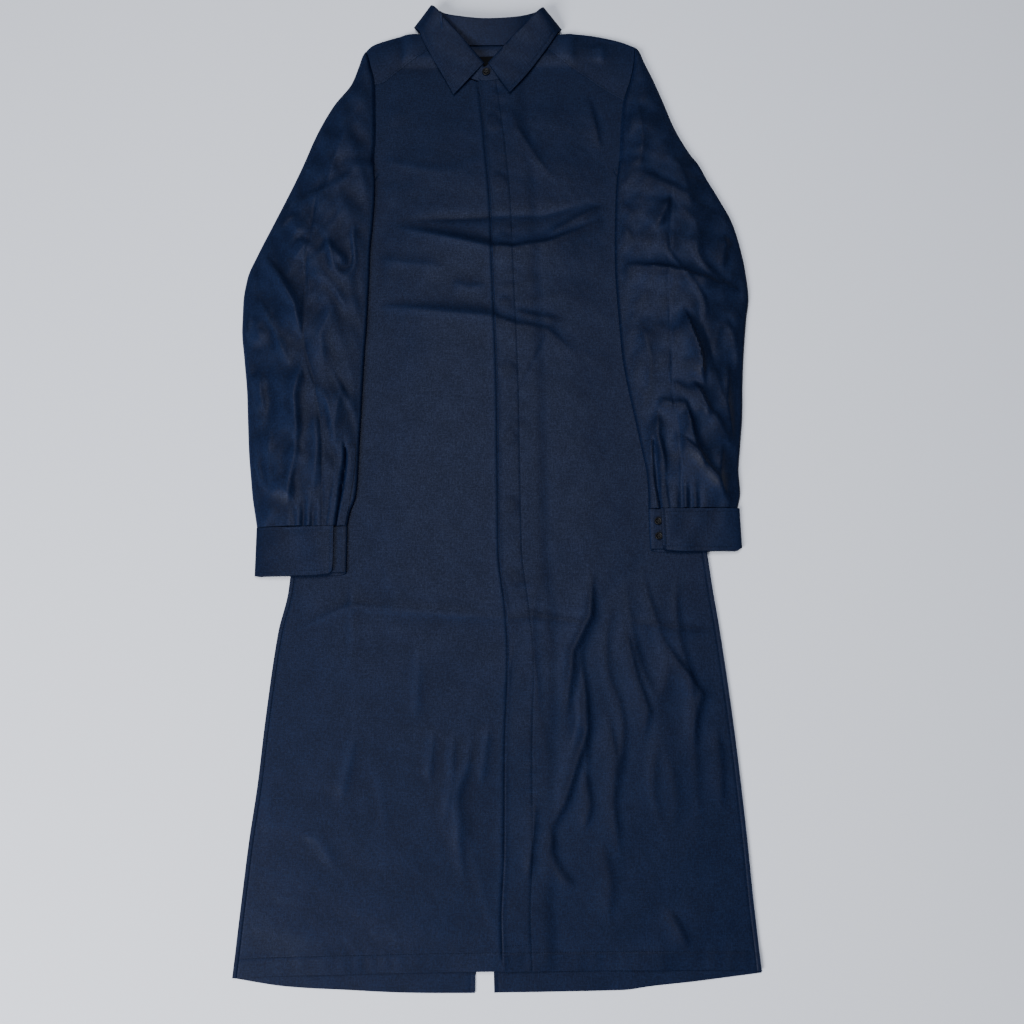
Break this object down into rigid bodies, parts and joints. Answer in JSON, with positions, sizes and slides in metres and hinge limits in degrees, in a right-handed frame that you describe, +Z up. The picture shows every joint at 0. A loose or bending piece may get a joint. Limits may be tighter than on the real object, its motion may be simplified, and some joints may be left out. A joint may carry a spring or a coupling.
{
  "type": "shirt coat",
  "caption": "Long shirt coat with a folded collar, covered placket and buttoned cuffs, laid flat with its front up.",
  "frame": {"origin": "middle of the laid garment's outline, on the surface it lies on", "axes": "+X towards the wearer's left, +Y from hem to collar, +Z up from the surface through back, then front"},
  "size_m": [0.6642, 1.2835, 0.0233],
  "materials": {
    "cloth": "near-black navy plain weave with slubs and a soft sheen",
    "button": "glossy black",
    "label": "fine black satin tape"
  },
  "bodies": {
    "root": {"yoke": "cloth", "back_right": "cloth", "back_left": "cloth", "front_right": "cloth", "front_left": "cloth", "collar_stand": "cloth", "collar_fall": "cloth", "sleeve_right": "cloth", "sleeve_placket_right": "cloth", "sleeve_left": "cloth", "sleeve_placket_left": "cloth", "cuff_right": "cloth", "cuff_button_right_1": "button", "cuff_button_right_2": "button", "cuff_left": "cloth", "cuff_button_left_1": "button", "cuff_button_left_2": "button", "neck_button": "button", "neck_label": "label"}
  },
  "joints": []
}
